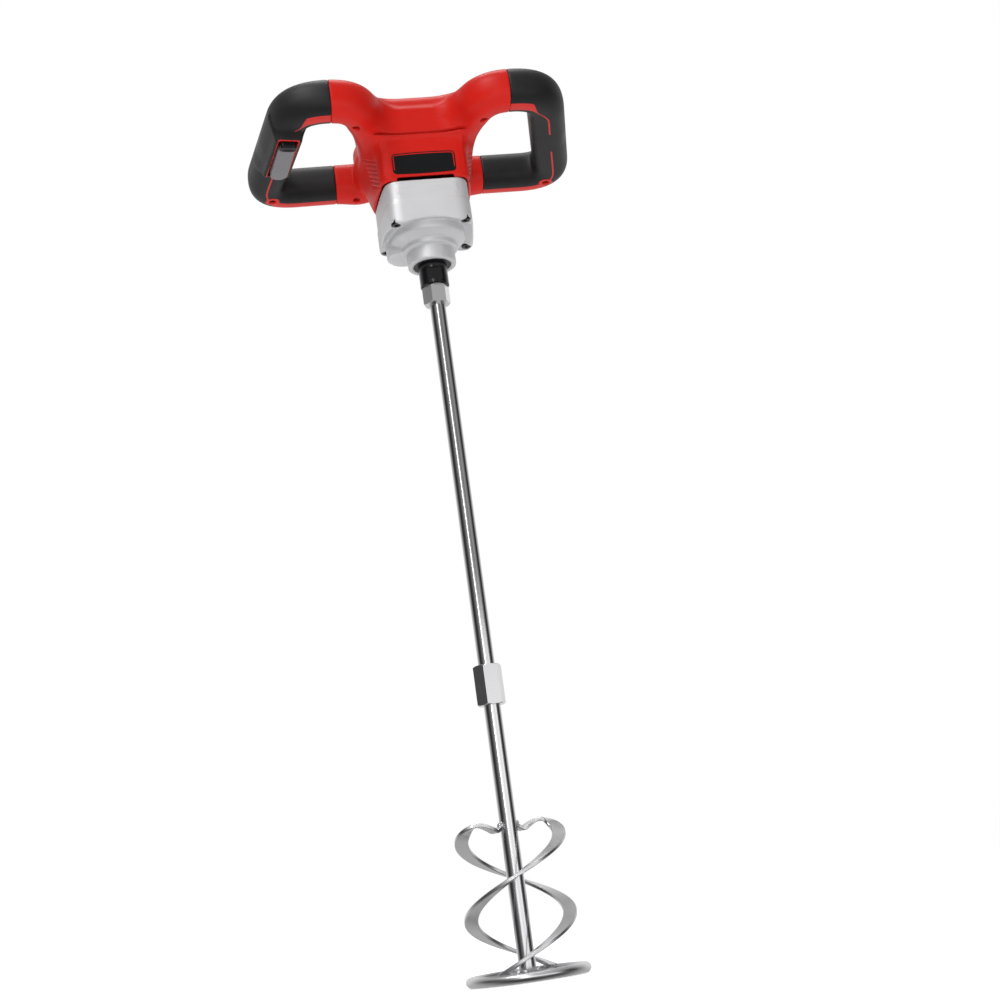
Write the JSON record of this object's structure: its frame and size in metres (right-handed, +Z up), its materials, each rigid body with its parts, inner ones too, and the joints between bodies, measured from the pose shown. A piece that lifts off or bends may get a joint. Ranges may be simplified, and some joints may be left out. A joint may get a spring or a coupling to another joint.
{
  "type": "drill paint mixer",
  "caption": "Two-handed cordless paint and mortar mixer: looped handles, cast gearbox and a long spiral stirrer screwed into its spindle.",
  "frame": {"origin": "spindle axis at the lower end of the gearbox's nose collar", "axes": "+Z up along the spindle axis to the battery dock, -Y to the label side, +X to the side opposite the trigger"},
  "size_m": [0.3048, 0.1905, 0.7795],
  "materials": {
    "red_plastic": "semi-gloss moulded",
    "grip_rubber": "fine matte texture",
    "label_black": "satin, blank with a thin border",
    "black_plastic": "matte",
    "brass": "bright",
    "screw_steel": "zinc plated",
    "cable_black": "satin",
    "cast_aluminium": "fine blasted casting",
    "motor_plate": "ground",
    "seal_rubber": "smooth",
    "bearing_steel": "polished",
    "can_steel": "zinc plated",
    "magnet": "sintered",
    "ivory_plastic": "moulded",
    "carbon": "pressed carbon",
    "black_steel": "glossy black oxide",
    "gear_steel": "ground",
    "chrome_steel": "bright zinc plate",
    "lamination": "stacked sheet",
    "copper": "enamelled wire",
    "trigger_grey": "satin",
    "button_black": "glossy"
  },
  "bodies": {
    "body": {"housing_top": "red_plastic", "housing_bottom": "red_plastic", "grip_left": "grip_rubber", "grip_right": "grip_rubber", "label_plate": "label_black", "battery_dock": "black_plastic", "dock_terminals": "brass", "housing_screws": "black_steel", "switch_module": "black_plastic", "trigger_pin": "screw_steel", "wiring": "cable_black", "gearbox_housing": "cast_aluminium", "gearbox_cover": "cast_aluminium", "gearbox_screws": "black_steel", "dust_seal": "seal_rubber", "nose_bearing": "bearing_steel", "retaining_ring": "screw_steel", "spindle_bearing": "bearing_steel", "lower_mid_bearing": "bearing_steel", "upper_mid_bearing": "bearing_steel", "motor_plate": "motor_plate", "motor_can": "can_steel", "motor_magnets": "magnet", "motor_bushes": "brass", "brush_cap": "ivory_plastic", "brushes": "carbon", "motor_screws": "screw_steel", "trigger_spring": "screw_steel", "lock_spring": "screw_steel"},
    "spindle_and_stirrer": {"spindle": "black_steel", "output_gear": "gear_steel", "stirrer_nut": "chrome_steel", "upper_rod": "chrome_steel", "coupling_nut": "chrome_steel", "lower_rod": "chrome_steel", "ribbon_a": "chrome_steel", "ribbon_b": "chrome_steel", "cross_strip": "chrome_steel", "stirrer_ring": "chrome_steel"},
    "intermediate": {"mid_shaft": "gear_steel", "mid_gear": "gear_steel"},
    "rotor": {"rotor_shaft": "gear_steel", "armature": "lamination", "windings": "copper", "commutator": "brass", "fan": "black_plastic", "motor_pinion": "gear_steel"},
    "trigger_lever": {"trigger": "trigger_grey"},
    "lock_off": {"lock_button": "button_black"}
  },
  "joints": [
    {"name": "spindle_spin", "type": "hinge", "parent": "body", "child": "spindle_and_stirrer", "pos_m": [0, 0, 0], "axis": [0, 0, 1], "continuous": true},
    {"name": "intermediate_spin", "type": "hinge", "parent": "body", "child": "intermediate", "pos_m": [-0.02078, 0.012, 0.03], "axis": [0, 0, 1], "continuous": true},
    {"name": "rotor_spin", "type": "hinge", "parent": "body", "child": "rotor", "pos_m": [0, 0.0128, 0.06], "axis": [0, 0, 1], "continuous": true},
    {"name": "trigger_pull", "type": "hinge", "parent": "body", "child": "trigger_lever", "pos_m": [-0.1175, -0.026, 0.121], "axis": [0.982, 0.1891, 0], "range_deg": [0, 7], "stiffness_Nm_per_rad": 1.5, "springref_deg": -14.32, "deforming": ["trigger_spring"]},
    {"name": "lock_off_press", "type": "slide", "parent": "body", "child": "lock_off", "axis": [0, 0, 1], "range_m": [0, 0.003], "stiffness_N_per_m": 400, "springref_m": -0.003, "deforming": ["lock_spring"]}
  ],
  "couplings": [
    {"joint": "intermediate_spin", "follows": "spindle_spin", "ratio": -3},
    {"joint": "rotor_spin", "follows": "spindle_spin", "ratio": 10}
  ]
}
